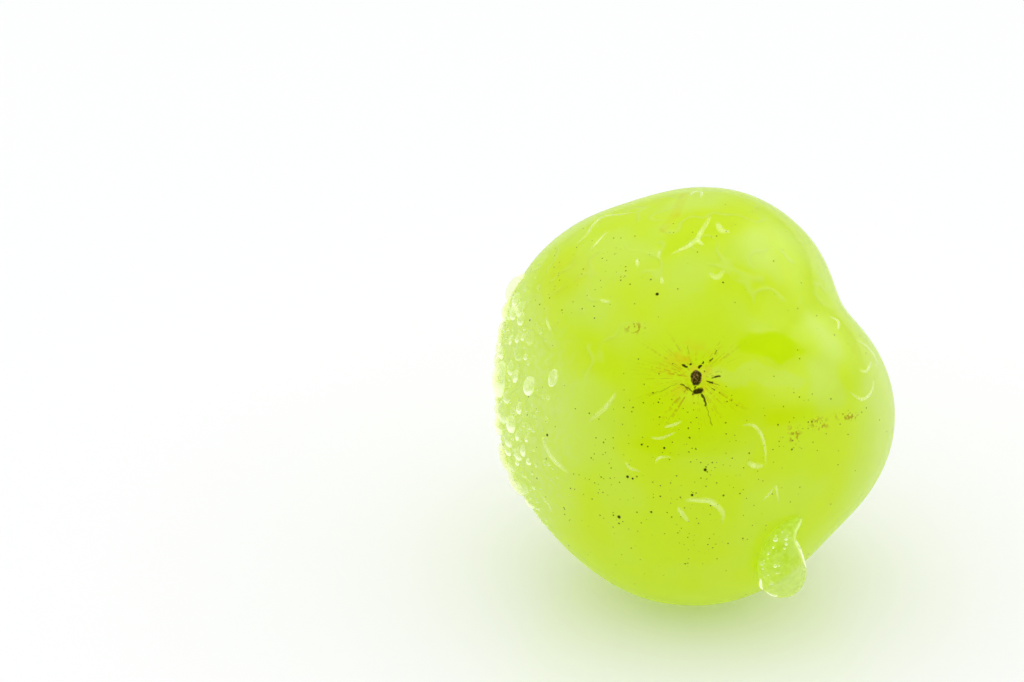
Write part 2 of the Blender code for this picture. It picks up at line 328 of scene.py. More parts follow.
# Pale highlights painted along the folds of the water film.
FILM_SHEEN_COLOUR = (0.80, 0.94, 0.34)
RAY_COLOUR = (0.44, 0.20, 0.001)
SCAR_GLOW_COLOUR = (0.80, 0.60, 0.001)
STAIN_COLOUR = (0.70, 0.64, 0.001)
DOT_COLOUR = (0.08, 0.10, 0.0005)
SMUDGE_COLOUR = (0.44, 0.30, 0.0005)
SPECK_COLOUR = (0.018, 0.026, 0.0005)
SCAR_CORE_COLOUR = (0.26, 0.15, 0.04)
STEM_DARK_COLOUR = (0.10, 0.055, 0.012)
STEM_PALE_COLOUR = (0.46, 0.34, 0.12)
FLESH_COLOUR = (0.69, 0.89, 0.03)

# The skin's gloss is nearly all in its wet coat, which its dry marks don't have.
SKIN_IOR = 1.1
FLESH_IOR = 1.2
SKIN_COAT = {"Coat Roughness": 0.10, "Coat IOR": 1.62}

# How the water looks: a share painted white all over with a painted glow, more at its lower rim as a painted
# highlight.
WHITENESS = "whiteness"
WATER_IOR = 1.33
Water = namedtuple("Water", "name colour tint milk rim_milk")
CLEAR = (1.0, 1.0, 1.0)
BEAD_WATER = Water("bead_water", (0.90, 1.0, 0.62), (0.97, 0.99, 0.80), 0.28, 0.85)
FOAM_WATER = Water("foam_water", (0.90, 1.0, 0.62), CLEAR, 0.25, 0.85)
RUN_WATER = Water("thin_water", (0.80, 0.96, 0.30), CLEAR, 0.48, 0.0)
# Glow painted on the water's white share, though the water is no lamp.
PAINTED_GLOW_COLOUR = (1.0, 1.0, 0.75)
PAINTED_GLOW = 0.28
# The drop's body is painted the green of the skin seen through it.
DROP_SEEN_SKIN_COLOUR = (0.66, 0.88, 0.07)
DROP_CLOUD_COLOUR = (0.84, 0.95, 0.42)
DROP_GLOW_COLOUR = (0.84, 0.97, 0.10)
DROP_GLOW = 0.6
DROP_CLEARNESS = 0.6

# The floor and the camera.
FLOOR_HALF_SIZE = 3.0
FLOOR_DROP = 0.02 * MM
FLOOR_MOTTLE_COLOUR = (0.72, 0.73, 0.74)
FLOOR_GLOW = 0.135
CAMERA_PLACE = Vector((-14.03 * MM, -279.35 * MM, 166.09 * MM))
CAMERA_PITCH = math.radians(62.5)
CAMERA_SENSOR = 36.0
CAMERA_NEAREST = 10 * MM

# Soft windows of light in the surround: direction in degrees (azimuth 0 is +Y, 90 is +X), half-sizes
# across and up in degrees, softness of the edge, and brightness over the surround's.
Window = namedtuple("Window", "azimuth elevation half_across half_up softness brightness")
WINDOWS = (
    Window(48, 31, 20, 20, 0.55, 1.7),
    Window(110, 26, 32, 13, 0.55, 1.2),
)
SKY_LOW = 0.75
SKY_HIGH = 1.3
SKY_FRONT_DIM = 0.6
GLOSS_BASE = 0.7
GLOSS_FRONT_DIM = 0.9
SKY_SEEN = 0.95

DOWN = Vector((0, 0, -1))
WHITE = (1.0, 1.0, 1.0, 1.0)
COLOUR = {"subtype": "COLOR", "size": 3, "min": 0.0, "max": 1.0}


class BerrySettings(bpy.types.PropertyGroup):
    """The skin and flesh of the grape."""

    skin_colour: FloatVectorProperty(
        name="Skin colour", description="Main colour of the ripe skin", default=(0.68, 0.89, 0.006), **COLOUR,
    )
    sunny_colour: FloatVectorProperty(
        name="Sunny colour", description="Yellower colour of the patches that ripened first",
        default=(0.72, 0.87, 0.006), **COLOUR,
    )
    rust_colour: FloatVectorProperty(
        name="Rust colour", description="Colour of the stains and specks of russet",
        default=(0.22, 0.24, 0.001), **COLOUR,
    )
    scar_colour: FloatVectorProperty(
        name="Scar colour", description="Colour of the dry blossom scar",
        default=(0.026, 0.013, 0.001), **COLOUR,
    )
    glow_colour: FloatVectorProperty(
        name="Glow colour", description="Colour of the light that comes through the flesh",
        default=(0.86, 0.975, 0.02), **COLOUR,
    )
    glow: FloatProperty(
        name="Glow", description="Share of light coming through the flesh", default=0.58, min=0.0, max=1.0,
    )


class WaterSettings(bpy.types.PropertyGroup):
    """The water on the grape."""

    colour: FloatVectorProperty(
        name="Water colour", description="Tint of the water", default=(0.985, 1.0, 0.97), **COLOUR,
    )
    bead_count: IntProperty(
        name="Beads", description="How many large beads stand on the left flank", default=90, min=1,
    )
    bead_least: FloatProperty(
        name="Smallest bead", description="Radius of the smallest large bead", unit="LENGTH",
        default=0.50 * MM, min=0.0,
    )
    bead_most: FloatProperty(
        name="Largest bead", description="Radius of the largest bead", unit="LENGTH",
        default=1.15 * MM, min=0.0,
    )
    spray_count: IntProperty(
        name="Spray", description="How many fine beads lie between the large ones", default=260, min=0,
    )


class StageSettings(bpy.types.PropertyGroup):
    """The floor, the light and the camera."""

    floor_colour: FloatVectorProperty(
        name="Floor colour", description="Colour of the pale floor", default=(0.80, 0.805, 0.81), **COLOUR,
    )
    surround: FloatProperty(
        name="Surround", description="Brightness of the white surround", default=1.0, min=0.0,
    )
    lens: FloatProperty(
        name="Lens", description="Focal length of the camera in millimetres", default=144.0, min=1.0,
    )


class Wire:
    """One output socket, on which Python's arithmetic adds Math nodes."""

    def __init__(self, surface, socket):
        self.surface = surface
        self.socket = socket

    def math(self, operation, *others):
        return self.surface.math(operation, self, *others)

    def __add__(self, other):
        return self.math("ADD", other)

    __radd__ = __add__

    def __sub__(self, other):
        return self.math("SUBTRACT", other)

    def __rsub__(self, other):
        return self.surface.math("SUBTRACT", other, self)

    def __mul__(self, other):
        return self.math("MULTIPLY", other)

    __rmul__ = __mul__

    def __truediv__(self, other):
        return self.math("DIVIDE", other)

    def __pow__(self, other):
        return self.math("POWER", other)

    def root(self):
        return self.math("SQRT")

    def most(self, other):
        return self.math("MAXIMUM", other)

    def least(self, other):
        return self.math("MINIMUM", other)

    def step(self, low, high, most=1.0):
        """Rises smoothly from 0 at low to most at high, which may be the lower of the two."""
        sockets = {0: self, 1: low, 2: high, 4: most}
        return self.surface.add("MapRange", sockets, interpolation_type="SMOOTHSTEP")

    def out(self, name):
        """Another output of the same node, by its name or number."""
        return Wire(self.surface, self.socket.node.outputs[name])


class Surface:
    """One material or world, and the way nodes are added to it."""

    # Sockets of a Mix node that mixes colours.
    MIX_SHARE = 0
    MIX_FIRST = 6
    MIX_SECOND = 7
    MIX_RESULT = 2

    def __init__(self, tree):
        self.tree = tree
        tree.nodes.clear()

    def add(self, kind, sockets, **settings):
        """Adds a node with the values or links of its sockets and its settings; gives its first output."""
        node = self.tree.nodes.new("ShaderNode" + kind)
        for name, value in settings.items():
            setattr(node, name, value)
        for name, value in sockets.items():
            if isinstance(value, Wire):
                self.tree.links.new(value.socket, node.inputs[name])
            else:
                node.inputs[name].default_value = value
        return Wire(self, node.outputs[0]) if node.outputs else None

    def math(self, operation, *values):
        return self.add("Math", dict(enumerate(values)), operation=operation)

    def mix(self, share, first, second):
        """Mixes two colours, each a wire or three numbers."""
        colours = [value if isinstance(value, Wire) else (*value, 1.0) for value in (first, second)]
        sockets = {self.MIX_SHARE: share, self.MIX_FIRST: colours[0], self.MIX_SECOND: colours[1]}
        return self.add("Mix", sockets, data_type="RGBA").out(self.MIX_RESULT)

    def blend(self, share, first, second):
        """Mixes two shaders."""
        return self.add("MixShader", {0: share, 1: first, 2: second})

    def vector(self, operation, *values):
        return self.add("VectorMath", dict(enumerate(values)), operation=operation)

    def split(self, vector):
        """The x, y and z of a vector."""
        apart = self.add("SeparateXYZ", {0: vector})
        return apart, apart.out(1), apart.out(2)

    def join(self, x, y, z):
        """A vector from its x, y and z."""
        return self.add("CombineXYZ", {0: x, 1: y, 2: z})

    def noise(self, place, size, detail=2.0, roughness=0.5):
        """Noise from 0 to 1 whose features are about a size across."""
        sockets = {"Vector": place, "Scale": 1 / size, "Detail": detail, "Roughness": roughness}
        return self.add("TexNoise", sockets).out("Fac")

    def object_place(self, location=(0, 0, 0), rotation=(0, 0, 0)):
        """The place on the piece in metres, in a frame with its own centre and turn."""
        place = self.add("TexCoord", {}).out("Object")
        sockets = {"Vector": place, "Location": location, "Rotation": rotation}
        return self.add("Mapping", sockets, vector_type="TEXTURE")


def new_surface(name):
    """A new material and the surface that its nodes are added to."""
    material = bpy.data.materials.new(name)
    material.use_nodes = True
    return material, Surface(material.node_tree)


def show(surface, shader):
    """Ends a material with its output."""
    surface.add("OutputMaterial", {"Surface": shader})


def radians(place):
    """A place's polar angle and turn, from degrees."""
    return math.radians(place[0]), math.radians(place[1])


def section_radius(turn):
    """Radius of the widest section at a turn: the outer edge of the lobes, creased where they meet."""
    total = 0.0
    for lobe in LOBES:
        towards = lobe.reach * math.cos(turn - math.radians(lobe.turn))
        edge = towards + math.sqrt(towards ** 2 + lobe.radius ** 2 - lobe.reach ** 2)
        total += edge ** CREASE_SHARPNESS
    return MM * (total / len(LOBES)) ** (1 / CREASE_SHARPNESS)


# The widest section's radius, averaged all round.
SECTION_MEAN = sum(section_radius(math.radians(turn)) for turn in range(360)) / 360


def bump(distance, width):
    """A smooth bump: 1 at no distance, and almost 0 past twice the width."""
    return math.exp(-(distance / width) ** 2)


def end_relief(polar):
    """Height of the marks at the blossom end and the stem end."""
    height = 0.0
    for angle, rings in ((polar, BLOSSOM_RINGS), (math.pi - polar, STEM_RINGS)):
        for ring in rings:
            height += ring.height * MM * bump(angle * BERRY_HALF_LENGTH - ring.reach * MM, ring.width * MM)
    return height


def direction_of(polar, turn):
    """The unit direction of a place, in the berry's own frame with the scar at +Z."""
    across = math.sin(polar)
    return Vector((across * math.cos(turn), across * math.sin(turn), math.cos(polar)))


def angles_of(direction):
    """Polar angle and turn of a unit vector."""
    polar = math.acos(max(-1.0, min(1.0, direction.z)))
    return polar, math.atan2(direction.y, direction.x)


def skin_radius(polar, turn):
    """Distance from the berry's centre to its smooth skin."""
    spheroid = 1 / math.hypot(math.cos(polar) / BERRY_HALF_LENGTH, math.sin(polar) / SECTION_MEAN)
    lobing = section_radius(turn) / SECTION_MEAN - 1
    return spheroid * (1 + lobing * math.sin(polar) ** LOBE_FADE) + end_relief(polar)


def skin_place(polar, turn, stand_out=0.0):
    """The world place of the smooth skin at two angles, or of a point off it."""
    return BERRY_FRAME @ (direction_of(polar, turn) * (skin_radius(polar, turn) + stand_out))


def over_skin(point, stand_out=0.0):
    """The place on the waved skin, or off it, straight out from the berry's centre through a world point."""
    way = (INTO_BERRY @ point).normalized()
    return skin_place(*angles_of(way), stand_out + skin_waves(way))


def skin_waves(way):
    """Height of the broad waves and ripples of the skin in a direction from the berry's centre."""
    return WAVE_HEIGHT * noise.noise(way * WAVE_COUNT) + RIPPLE_HEIGHT * noise.noise(way * RIPPLE_COUNT)


def skin_detail(polar, turn):
    """Height of the waves, ripples and crust that the fine skin adds."""
    way = direction_of(polar, turn)
    height = skin_waves(way)
    from_blossom = polar * BERRY_HALF_LENGTH
    if from_blossom < 2 * CRUST_RADIUS:
        height += CRUST_HEIGHT * bump(from_blossom, CRUST_RADIUS) * noise.noise(way * CRUST_COUNT)
    from_stem = (math.pi - polar) * BERRY_HALF_LENGTH
    if from_stem < 2 * STEM_CRUST_RADIUS:
        crust = noise.fractal(way * STEM_CRUST_COUNT, 0.5, 2.0, 3)
        height += STEM_CRUST_HEIGHT * bump(from_stem, STEM_CRUST_RADIUS) * crust
    return height


def ball(sides, rings):
    """A unit sphere in a new bmesh, its poles at +Z and -Z."""
    mesh = bmesh.new()
    bmesh.ops.create_uvsphere(mesh, u_segments=sides, v_segments=rings, radius=1.0)
    return mesh


def finish_piece(name, mesh, material, replaced=None):
    """Makes a smooth-shaded piece from a bmesh, with its body, its finish and the node it stands for."""
    data = bpy.data.meshes.new(name)
    mesh.to_mesh(data)
    mesh.free()
    data.shade_smooth()
    data.materials.append(material)
    piece = bpy.data.objects.new(name, data)
    bpy.context.scene.collection.objects.link(piece)
    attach(piece, "root")
    if replaced:
        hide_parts(replaced)
    return piece


def cut_resting_spot(mesh):
    """Cuts the underside flat where the berry rests, and caps it."""
    for vert in mesh.verts:
        if abs(vert.co.z) < FLAT_SPOT_SNAP:
            vert.co.z = 0
    bmesh.ops.bisect_plane(
        mesh,
        geom=mesh.verts[:] + mesh.edges[:] + mesh.faces[:],
        dist=TINY,
        plane_co=(0, 0, 0),
        plane_no=DOWN,
        clear_outer=True,
    )
    rim = [edge for edge in mesh.edges if edge.is_boundary]
    bmesh.ops.holes_fill(mesh, edges=rim, sides=0)
    bmesh.ops.recalc_face_normals(mesh, faces=mesh.faces[:])


def fine_skin():
    """The berry's skin with its waves, crust and flat resting spot."""
    mesh = ball(SKIN_SIDES, SKIN_RINGS)
    bmesh.ops.subdivide_edges(mesh, edges=mesh.edges[:], cuts=SKIN_CUTS, use_grid_fill=True)
    for vert in mesh.verts:
        polar, turn = angles_of(vert.co.normalized())
        crowded = polar - RING_CROWDING * math.sin(2 * polar) / 2
        vert.co = skin_place(crowded, turn, skin_detail(crowded, turn))
    cut_resting_spot(mesh)
    return mesh


def catmull_rom(before, start, end, after, part):
    """A smooth step from start to end that heads the way its neighbours lie."""
    bend = 2 * before - 5 * start + 4 * end - after
    twist = 3 * (start - end) + after - before
    return (2 * start + (end - before) * part + bend * part ** 2 + twist * part ** 3) / 2


def along(stops, share):
    """The value a share of the way along a row of values, joined smoothly."""
    last = len(stops) - 1
    index = min(int(share * last), last - 1)
    near = [stops[max(0, min(last, index + step))] for step in (-1, 0, 1, 2)]
    return catmull_rom(*near, share * last - index)


def line_at(stops, share):
    """The place a share of the way along a row of points, and the way on from there."""
    ahead = along(stops, min(1.0, share + SLOPE_STEP))
    behind = along(stops, max(0.0, share - SLOPE_STEP))
    return along(stops, share), ahead - behind


def drop_middle():
    """The points of the drop's middle line, in the berry's own frame."""
    points = []
    for stop in DROP_STATIONS:
        angles = radians(stop)
        points.append(direction_of(*angles) * (skin_radius(*angles) + stop.stand_out * MM))
    return points


DROP_MIDDLE = drop_middle()
DROP_WIDTHS = [stop.half_width * MM for stop in DROP_STATIONS]


def drop_surface(polar, turn):
    """Place on the hanging drop of a point of a sphere, whose lower half is the drop's round end."""
    share = min(1.0, 1 - math.cos(polar))
    centre, slope = line_at(DROP_MIDDLE, share)
    down = slope.normalized()
    outward = (centre - down * centre.dot(down)).normalized()
    sideways = outward.cross(down)
    if share < 1:
        ring = math.sqrt(1 - max(0.0, 1 - share / DROP_TIP_SHARE) ** 2)
    else:
        ring = math.sin(polar)
    end = down * DROP_END_LENGTH * max(0.0, -math.cos(polar))
    spoke = outward * math.cos(turn) + sideways * math.sin(turn)
    return centre + spoke * along(DROP_WIDTHS, share) * ring + end


def drop_place(polar, turn, stand_out):
    """World place on the hanging drop, brought out to a height over the skin where it would lie below it."""
    point = drop_surface(polar, turn)
    least = skin_radius(*angles_of(point.normalized())) + stand_out
    if point.length < least:
        point = point.normalized() * least
    return BERRY_FRAME @ point


def hanging_drop():
    """The clear drop in the lower right groove, its back pressed just into the skin."""
    mesh = ball(DROP_SIDES, DROP_RINGS)
    for vert in mesh.verts:
        vert.co = drop_place(*angles_of(vert.co), -WATER_SINK)
    return mesh


def skin_axes(point):
    """At a world point on the skin: the level way and the way down over the skin."""
    outward = (point - BERRY_CENTRE).normalized()
    down = DOWN - outward * DOWN.dot(outward)
    down.normalize()
    return down.cross(outward), down


def water_mesh():
    """A new bmesh for water, with a layer for how white each vertex is."""
    mesh = bmesh.new()
    mesh.verts.layers.float.new(WHITENESS)
    return mesh


def whiten(part, value_at):
    """Gives each vertex of a small bmesh its whiteness, from its place on the unit sphere."""
    layer = part.verts.layers.float.new(WHITENESS)
    for vert in part.verts:
        vert[layer] = value_at(vert.co)


def join(mesh, part):
    """Moves a finished small bmesh into a larger one."""
    data = bpy.data.meshes.new("joined")
    part.to_mesh(data)
    part.free()
    mesh.from_mesh(data)
    bpy.data.meshes.remove(data)


def lay_lens(mesh, polar, turn, half_width, half_length, height, whiteness, fineness):
    """Adds a closed lens of water that sits on the skin and hugs it, its underside sunk into the skin."""
    middle = skin_place(polar, turn)
    level, down = skin_axes(middle)
    lens = bmesh.new()
    bmesh.ops.create_icosphere(lens, subdivisions=fineness, radius=1.0)
    whiten(lens, lambda spot: whiteness)
    for vert in lens.verts:
        offset = level * vert.co.x * half_width + down * vert.co.y * half_length
        stand_out = (WATER_SINK if vert.co.z < 0 else height) * vert.co.z
        vert.co = over_skin(middle + offset, stand_out)
    join(mesh, lens)


def lay_strand(mesh, stops, sides, rings, whiteness_at, place_at):
    """Adds a closed strand of water along a row of points, each vertex whitened and placed by a function."""
    strand = ball(sides, rings)
    whiten(strand, whiteness_at)
    for vert in strand.verts:
        centre, slope = line_at(stops, (1 - vert.co.z) / 2)
        outward = (centre - BERRY_CENTRE).normalized()
        side = outward.cross(slope).normalized()
        vert.co = place_at(centre, side, outward, vert.co)
    if strand.calc_volume(signed=True) < 0:
        bmesh.ops.reverse_faces(strand, faces=strand.faces[:])
    join(mesh, strand)


def run_water(mesh, run):
    """Adds a run of water: a low ridge over the skin through its places, underside sunk in, crest painted pale
    as a highlight.
    """

    def place_at(centre, side, outward, spot):
        stand_out = (run.height * MM if spot.y > 0 else WATER_SINK) * spot.y
        return over_skin(centre + side * spot.x * (run.half_width * MM) * RUN_SPREAD, stand_out)

    stops = [skin_place(*radians(place)) for place in run.places]
    lay_strand(mesh, stops, RUN_SIDES, RUN_RINGS, lambda spot: max(0.0, spot.y) ** 2, place_at)


def lay_cord(mesh, stops):
    """Adds a thin cord of water, painted bright as a highlight, through a row of points."""

    def place_at(centre, side, outward, spot):
        return centre + (side * spot.x + outward * spot.y) * CORD_RADIUS

    lay_strand(mesh, stops, CORD_SIDES, CORD_RINGS, lambda spot: CORD_WHITENESS, place_at)


def foam_on_drop():
    """Small bubbles on the upper left of the hanging drop, and the cords of water on it painted bright as
    highlights.
    """
    chance = random.Random(FOAM_SEED)
    mesh = water_mesh()
    bubbles = []
    for _ in range(BEAD_TRIES):
        if len(bubbles) == FOAM_COUNT:
            break
        polar = math.radians(chance.uniform(*FOAM_POLARS))
        turn = math.radians(chance.uniform(*FOAM_TURNS))
        radius = FOAM_LEAST + (FOAM_MOST - FOAM_LEAST) * chance.random() ** 2
        centre = BERRY_FRAME @ drop_surface(polar, turn)
        if not clear_of(centre, radius, bubbles, FOAM_SPACING):
            continue
        bubbles.append((centre, radius))
        bubble = bmesh.new()
        place = Matrix.Translation(centre)
        bmesh.ops.create_icosphere(bubble, subdivisions=FOAM_FINENESS, radius=radius, matrix=place)
        whiteness = chance.uniform(*FOAM_WHITENESSES)
        whiten(bubble, lambda spot: whiteness)
        join(mesh, bubble)
    for cord in DROP_CORDS:
        lay_cord(mesh, [drop_place(*radians(place), CORD_RADIUS / 2) for place in cord])
    return mesh


def field_place(across, along_field):
    """Polar angle and turn of a place in the bead field, whose edge is a wavy oval at radius 1."""
    angle = math.atan2(along_field, across)
    wave = 1 + FIELD_WAVE * math.sin(FIELD_WAVES * angle)
    polar = FIELD_POLAR + across * wave * FIELD_HALF_POLAR
    return polar, FIELD_TURN + along_field * wave * FIELD_HALF_TURN


def clear_of(point, radius, beads, spacing):
    """Whether a bead would stand clear of those already there."""
    return all((point - other).length > spacing * (radius + size) for other, size in beads)


def field_draws(chance, reach, least, most, fineness):
    """Draws the beads of a field: how far out in it each lies, its skin place and its radius."""
    for _ in range(BEAD_TRIES):
        share = math.sqrt(chance.random()) * reach
        angle = chance.random() * math.tau
        radius = least + (most - least) * chance.random() ** fineness
        yield share, field_place(share * math.cos(angle), share * math.sin(angle)), radius


def scatter_beads(count, least, most, taken):
    """Seeded places and radii of the large beads in the field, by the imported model's own rule."""
    beads = []
    drawn = []
    for _, place, radius in field_draws(random.Random(BEAD_SEED), FIELD_INSIDE_EDGE, least, most, 2):
        if len(drawn) == count:
            break
        centre = skin_place(*place)
        if clear_of(centre, radius, drawn, BEAD_SPACING):
            drawn.append((centre, radius))
            if clear_of(centre, radius, taken, 1.0):
                beads.append((place, radius))
    return beads


def scatter_spray(count, taken):
    """Seeded places and radii of the fine beads, thickest in the field and thinning out round it."""
    chance = random.Random(SPRAY_SEED)
    beads = []
    for share, place, radius in field_draws(chance, SPRAY_REACH, SPRAY_LEAST, SPRAY_MOST, 3):
        if len(beads) == count:
            break
        if chance.random() > (SPRAY_REACH - share) / SPRAY_REACH + SPRAY_FLOOR:
            continue
        centre = skin_place(*place)
        if clear_of(centre, radius, taken, 1.0):
            taken.append((centre, radius))
            beads.append((place, radius))
    return beads


def most_of(first, *others):
    """The strongest of several masks."""
    for other in others:
        first = first.most(other)
    return first


def stroke_mask(surface, place, stroke):
    """How much a stroke covers a place given in millimetres right of and above the scar."""
    run = Vector((stroke.end[0] - stroke.start[0], stroke.end[1] - stroke.start[1], 0))
    off = surface.vector("SUBTRACT", place, (*stroke.start, 0))
    ahead = surface.vector("DOT_PRODUCT", off, tuple(run / run.length_squared)).out("Value")
    share = surface.add("Math", {0: ahead, 1: 1.0}, operation="MULTIPLY", use_clamp=True)
    foot = surface.vector("MULTIPLY", tuple(run), surface.join(share, share, share))
    distance = surface.vector("DISTANCE", off, foot).out("Value")
    return distance.step(stroke.half_width * 1.3, stroke.half_width * 0.5, stroke.darkness)


def speck_mask(surface, place, speck):
    """How much a single speck covers a place given in millimetres right of and above the scar."""
    reach = math.radians(speck.polar) * BERRY_HALF_LENGTH / MM
    turn = math.radians(speck.turn)
    middle = (reach * math.cos(turn), reach * math.sin(turn), 0)
    distance = surface.vector("DISTANCE", place, middle).out("Value")
    return distance.step(speck.radius * 1.2, speck.radius * 0.6)


class Skin:
    """The skin while it is painted: its colour so far, and where its points lie, in millimetres."""

    def __init__(self, surface, colour):
        self.surface = surface
        self.colour = colour
        self.place = surface.object_place(BERRY_CENTRE, tuple(BERRY_LEAN))
        x, y, z = surface.split(surface.vector("NORMALIZE", self.place))
        across = (x * x + y * y).root()
        self.level = x / across
        self.upright = y / across
        self.reach = z.math("ARCCOSINE") * (BERRY_HALF_LENGTH / MM)
        self.right = self.level * self.reach
        self.up = self.upright * self.reach
        self.flat_place = surface.join(self.right, self.up, 0.0)

    def noise(self, size, detail=1.0, roughness=0.5):
        """Noise from 0 to 1 whose features are about a size in millimetres across."""
        return self.surface.noise(self.place, size * MM, detail, roughness)

    def paint(self, share, colour):
        """Lays a colour over a share of the colour so far."""
        self.colour = self.surface.mix(share, self.colour, colour)

    def oval(self, oval, place=None):
        """How much a soft oval covers the skin."""
        right, up = place or (self.right, self.up)
        off_x = (right - oval.right) / oval.half_right
        off_y = (up - oval.up) / oval.half_up
        off = (off_x * off_x + off_y * off_y).root()
        return off.step(1 + oval.softness, 1 - oval.softness, oval.strength)

    def dots(self, cell, radius, share):
        """Small round dots, one in some of the cells of a random net, and the size of each from 0 to 1."""
        net = self.surface.add("TexVoronoi", {"Vector": self.place, "Scale": 1 / (cell * MM)}, feature="F1")
        chance, size, _ = self.surface.split(net.out("Color"))
        inside = net.math("LESS_THAN", (0.35 + size * 0.65) * (radius / cell))
        return inside * chance.math("LESS_THAN", share), size


def paint_patches(skin, settings):
    """Paints the yellow and frosted patches, pale reflections and a paler right rim painted as light, and a
    deeper green hollow painted as shade, and gives where that hollow lies.
    """
    skin.paint(skin.noise(6.0).step(0.35, 0.7), settings.sunny_colour)
    # Painted reflection: a pale veil, stronger towards the top, with the pale patches right and left of the
    # scar.
    reflection_veil = skin.noise(4.5, roughness=0.4).step(0.40, 0.66)
    reflection_veil = reflection_veil * skin.reach.step(3.5, 9.0) * (0.35 + skin.up.step(-12.0, -2.0) * 0.65)
    uneven = skin.noise(1.7, 2.0) - 0.5
    torn_place = (skin.right + uneven * 3.0, skin.up - uneven * 2.0)
    # Painted shade: a deeper green in the groove between the top and right lobes, kept clear of the pale
    # reflections.
    hollow_shade = skin.oval(SHADED_HOLLOW, torn_place)
    reflection_veil = most_of(reflection_veil, skin.oval(REFLECTED_LEDGE, torn_place), skin.oval(REFLECTED_SMEAR)) * (1 - hollow_shade)
    skin.paint(reflection_veil * 0.8, REFLECTION_VEIL_COLOUR)
    skin.paint(hollow_shade * 0.8, HOLLOW_SHADE_COLOUR)
    flank = skin.oval(FROSTED_FLANK)
    frost = skin.noise(0.5, 2.0).step(0.45, 0.6) * flank
    skin.paint(frost * 0.3 + flank * 0.45, FROST_COLOUR)
    # Painted sheen: paler towards the right rim.
    skin.paint(skin.oval(RIM_SHEEN), RIM_SHEEN_COLOUR)
    return hollow_shade


def paint_film_sheen(skin):
    """Paints pale highlights along the fine folds of the film of water over the upper skin, and gives where the
    folds lie.
    """
    folds = (skin.noise(3.2) - 0.5).math("ABSOLUTE").step(0.045, 0.0)
    wrinkled = skin.noise(2.6, 0.0).step(0.42, 0.58)
    film = folds * wrinkled * (skin.up - skin.right * 0.5).step(1.0, 4.0) * skin.reach.step(3.5, 9.0)
    # Painted highlight: the folds are painted pale; the same mask also raises them in the bump.
    skin.paint(film * 0.45, FILM_SHEEN_COLOUR)
    return film


def scar_rays(skin):
    """Where fine brown lines run out from the scar, further in some sectors than in others."""
    surface = skin.surface
    lines = surface.join(skin.level * 13.0, skin.upright * 13.0, skin.reach * 0.05)
    sector = surface.noise(surface.join(skin.level, skin.upright, 0.0), 0.45, detail=0.0).step(0.35, 0.60)
    ray = surface.noise(lines, 0.5, roughness=0.65).step(0.51, 0.60)
    ray = ray * skin.reach.step(2.0 + sector * 4.0, 0.8) * skin.reach.step(0.4, 0.9)
    return ray * skin.noise(0.25, 0.0).step(0.35, 0.6)


def paint_russet(skin, settings):
    """Paints the brown rays, glow, stains, dots and smudges, and gives their cover and the large dots."""
    rays = scar_rays(skin)
    skin.paint(rays * 0.9, RAY_COLOUR)

    glow = skin.oval(SCAR_GLOW) * skin.noise(0.9).step(0.35, 0.7)
    skin.paint(glow * 0.85, SCAR_GLOW_COLOUR)

    strokes = [stroke_mask(skin.surface, skin.flat_place, stroke) for stroke in RUST_STROKES]
    mottle = skin.noise(1.6, 3.0, 0.65).step(0.5, 0.7)
    stain = (0.45 + mottle * 0.55) * most_of(skin.oval(STAINED_SHOULDER), *strokes)
    skin.paint(stain, STAIN_COLOUR)

    crowd = most_of(*[skin.oval(oval) for oval in DOT_CROWDS])
    clump = skin.noise(2.4).step(0.38, 0.62)
    fine, fine_size = skin.dots(0.36, 0.07, 0.06 + crowd * (0.35 + clump * 0.60))
    skin.paint(fine * (0.65 + fine_size * 0.35), settings.rust_colour)
    small, size = skin.dots(0.70, 0.09, 0.07 + crowd * (0.26 + clump * 0.45))
    skin.paint(small * (0.6 + size * 0.4), DOT_COLOUR)
    large, _ = skin.dots(1.9, 0.12, 0.06 + crowd * 0.14)

    smudge = skin.noise(0.30).step(0.50, 0.60) * most_of(*[skin.oval(oval) for oval in SMUDGES])
    skin.paint(smudge * 0.9, SMUDGE_COLOUR)
    fine = fine * (0.6 + fine_size * 0.4)
    return most_of(rays * 0.7, fine, small * 0.9, stain * 0.25, glow * 0.30, smudge * 0.8), large


def paint_scar(skin, settings):
    """Paints the dry blossom scar with its strokes, and gives how much of the skin they cover."""
    right = skin.right + (skin.noise(0.35) - 0.5) * 0.30
    up = skin.up + (skin.noise(0.42) - 0.5) * 0.30
    flat_place = skin.surface.join(right, up, 0.0)
    core = skin.oval(SCAR_CORE, (right, up))
    marks = most_of(core, *[stroke_mask(skin.surface, flat_place, stroke) for stroke in SCAR_STROKES])
    crust = skin.noise(0.16, 2.0)
    pale_core = crust.step(0.45, 0.62) * core * 0.9
    scar_colour = skin.surface.mix(pale_core, settings.scar_colour, SCAR_CORE_COLOUR)
    skin.paint(marks * crust.step(0.05, 0.35), scar_colour)
    return marks


def paint_stem_end(skin):
    """Paints the dry ring where the stem was, and gives how much of the skin it covers."""
    from_stem = math.pi * BERRY_HALF_LENGTH / MM - skin.reach
    crumbs = skin.noise(0.5, 2.0, 0.6)
    ring = (from_stem + crumbs * 1.2).step(3.0, 2.2)
    skin.paint(ring * 0.92, skin.surface.mix(crumbs.step(0.35, 0.65), STEM_DARK_COLOUR, STEM_PALE_COLOUR))
    return ring


def fruit_side(surface, settings, share, sockets):
    """One side of the skin: its coated surface, and a share of the light that glows through the flesh."""
    skin = surface.add("BsdfPrincipled", {**SKIN_COAT, **sockets})
    through = surface.add("BsdfTranslucent", {"Color": (*settings.glow_colour, 1.0)})
    return surface.blend(share, skin, through)


